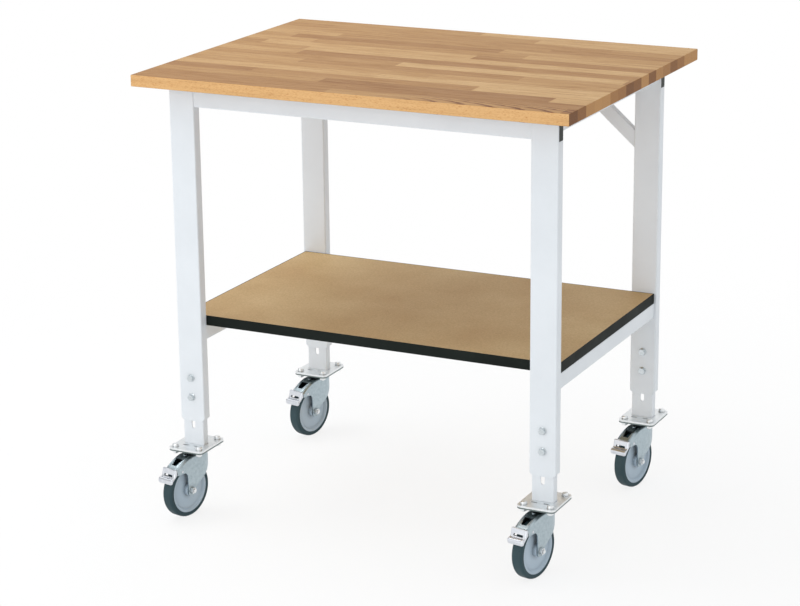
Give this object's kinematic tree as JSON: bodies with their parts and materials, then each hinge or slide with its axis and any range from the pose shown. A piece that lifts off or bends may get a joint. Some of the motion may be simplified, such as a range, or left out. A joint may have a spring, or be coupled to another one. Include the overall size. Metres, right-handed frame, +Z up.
{
  "type": "mobile work table",
  "caption": "Mobile work table: wooden worktop and lower shelf on a painted steel frame, with telescopic legs on braked swivel casters.",
  "frame": {"origin": "on the floor, in the middle of the ground that the whole table covers, casters included", "axes": "+X along the worktop's length to the right as seen from the front, +Y to the back, +Z up"},
  "size_m": [1, 0.7751, 1],
  "materials": {
    "beech_worktop": "oiled, satin",
    "shelf_panel": "pressed board, matte",
    "black_edging": "satin",
    "white_paint": "powder coat, satin",
    "black_plastic": "moulded, matte",
    "bright_zinc": "bright zinc plate",
    "caster_zinc": "zinc plate, satin",
    "pedal_metal": "zinc plate, satin",
    "grey_plastic": "moulded, satin",
    "grey_rubber": "solid rubber, matte"
  },
  "bodies": {
    "frame": {"worktop": "beech_worktop", "front_left_leg": "white_paint", "front_right_leg": "white_paint", "rear_left_leg": "white_paint", "rear_right_leg": "white_paint", "front_rail": "white_paint", "rear_rail": "white_paint", "rail_end_plugs": "black_plastic", "left_top_rail": "white_paint", "right_top_rail": "white_paint", "left_shelf_rail": "white_paint", "right_shelf_rail": "white_paint", "left_corner_brace": "white_paint", "right_corner_brace": "white_paint", "shelf_board": "shelf_panel", "shelf_edge_band": "black_edging", "worktop_screws": "bright_zinc", "shelf_screws": "bright_zinc", "leg_clamp_bolts": "bright_zinc", "leg_clamp_nuts": "bright_zinc"},
    "front_left_foot": {"front_left_foot_tube": "white_paint", "front_left_foot_plate": "bright_zinc", "front_left_caster_plate": "caster_zinc", "front_left_plate_bolts": "bright_zinc"},
    "front_left_swivel": {"front_left_swivel_race": "caster_zinc", "front_left_caster_fork": "caster_zinc", "front_left_axle": "bright_zinc"},
    "front_left_wheel": {"front_left_wheel_core": "grey_plastic", "front_left_wheel_tread": "grey_rubber"},
    "front_left_pedal": {"front_left_brake_pedal": "pedal_metal"},
    "front_right_foot": {"front_right_foot_tube": "white_paint", "front_right_foot_plate": "bright_zinc", "front_right_caster_plate": "caster_zinc", "front_right_plate_bolts": "bright_zinc"},
    "front_right_swivel": {"front_right_swivel_race": "caster_zinc", "front_right_caster_fork": "caster_zinc", "front_right_axle": "bright_zinc"},
    "front_right_wheel": {"front_right_wheel_core": "grey_plastic", "front_right_wheel_tread": "grey_rubber"},
    "front_right_pedal": {"front_right_brake_pedal": "pedal_metal"},
    "rear_left_foot": {"rear_left_foot_tube": "white_paint", "rear_left_foot_plate": "bright_zinc", "rear_left_caster_plate": "caster_zinc", "rear_left_plate_bolts": "bright_zinc"},
    "rear_left_swivel": {"rear_left_swivel_race": "caster_zinc", "rear_left_caster_fork": "caster_zinc", "rear_left_axle": "bright_zinc"},
    "rear_left_wheel": {"rear_left_wheel_core": "grey_plastic", "rear_left_wheel_tread": "grey_rubber"},
    "rear_left_pedal": {"rear_left_brake_pedal": "pedal_metal"},
    "rear_right_foot": {"rear_right_foot_tube": "white_paint", "rear_right_foot_plate": "bright_zinc", "rear_right_caster_plate": "caster_zinc", "rear_right_plate_bolts": "bright_zinc"},
    "rear_right_swivel": {"rear_right_swivel_race": "caster_zinc", "rear_right_caster_fork": "caster_zinc", "rear_right_axle": "bright_zinc"},
    "rear_right_wheel": {"rear_right_wheel_core": "grey_plastic", "rear_right_wheel_tread": "grey_rubber"},
    "rear_right_pedal": {"rear_right_brake_pedal": "pedal_metal"}
  },
  "joints": [
    {"name": "front_left_leg_height", "type": "slide", "parent": "frame", "child": "front_left_foot", "axis": [0, 0, -1], "range_m": [-0.045, 0.105]},
    {"name": "front_left_caster_swivel", "type": "hinge", "parent": "front_left_foot", "child": "front_left_swivel", "pos_m": [-0.42, -0.27973, 0.155], "axis": [0, 0, 1], "continuous": true},
    {"name": "front_left_wheel_spin", "type": "hinge", "parent": "front_left_swivel", "child": "front_left_wheel", "pos_m": [-0.42832, -0.31886, 0.0625], "axis": [0.9781, -0.2079, 0], "continuous": true},
    {"name": "front_left_brake_pedal", "type": "hinge", "parent": "front_left_swivel", "child": "front_left_pedal", "pos_m": [-0.43414, -0.34625, 0.1135], "axis": [0.9781, -0.2079, 0], "range_deg": [0, 8]},
    {"name": "front_right_leg_height", "type": "slide", "parent": "frame", "child": "front_right_foot", "axis": [0, 0, -1], "range_m": [-0.045, 0.105]},
    {"name": "front_right_caster_swivel", "type": "hinge", "parent": "front_right_foot", "child": "front_right_swivel", "pos_m": [0.42, -0.27973, 0.155], "axis": [0, 0, 1], "continuous": true},
    {"name": "front_right_wheel_spin", "type": "hinge", "parent": "front_right_swivel", "child": "front_right_wheel", "pos_m": [0.41168, -0.31886, 0.0625], "axis": [0.9781, -0.2079, 0], "continuous": true},
    {"name": "front_right_brake_pedal", "type": "hinge", "parent": "front_right_swivel", "child": "front_right_pedal", "pos_m": [0.40586, -0.34625, 0.1135], "axis": [0.9781, -0.2079, 0], "range_deg": [0, 8]},
    {"name": "rear_left_leg_height", "type": "slide", "parent": "frame", "child": "rear_left_foot", "axis": [0, 0, -1], "range_m": [-0.045, 0.105]},
    {"name": "rear_left_caster_swivel", "type": "hinge", "parent": "rear_left_foot", "child": "rear_left_swivel", "pos_m": [-0.42, 0.30527, 0.155], "axis": [0, 0, 1], "continuous": true},
    {"name": "rear_left_wheel_spin", "type": "hinge", "parent": "rear_left_swivel", "child": "rear_left_wheel", "pos_m": [-0.42832, 0.26614, 0.0625], "axis": [0.9781, -0.2079, 0], "continuous": true},
    {"name": "rear_left_brake_pedal", "type": "hinge", "parent": "rear_left_swivel", "child": "rear_left_pedal", "pos_m": [-0.43414, 0.23875, 0.1135], "axis": [0.9781, -0.2079, 0], "range_deg": [0, 8]},
    {"name": "rear_right_leg_height", "type": "slide", "parent": "frame", "child": "rear_right_foot", "axis": [0, 0, -1], "range_m": [-0.045, 0.105]},
    {"name": "rear_right_caster_swivel", "type": "hinge", "parent": "rear_right_foot", "child": "rear_right_swivel", "pos_m": [0.42, 0.30527, 0.155], "axis": [0, 0, 1], "continuous": true},
    {"name": "rear_right_wheel_spin", "type": "hinge", "parent": "rear_right_swivel", "child": "rear_right_wheel", "pos_m": [0.41168, 0.26614, 0.0625], "axis": [0.9781, -0.2079, 0], "continuous": true},
    {"name": "rear_right_brake_pedal", "type": "hinge", "parent": "rear_right_swivel", "child": "rear_right_pedal", "pos_m": [0.40586, 0.23875, 0.1135], "axis": [0.9781, -0.2079, 0], "range_deg": [0, 8]}
  ]
}
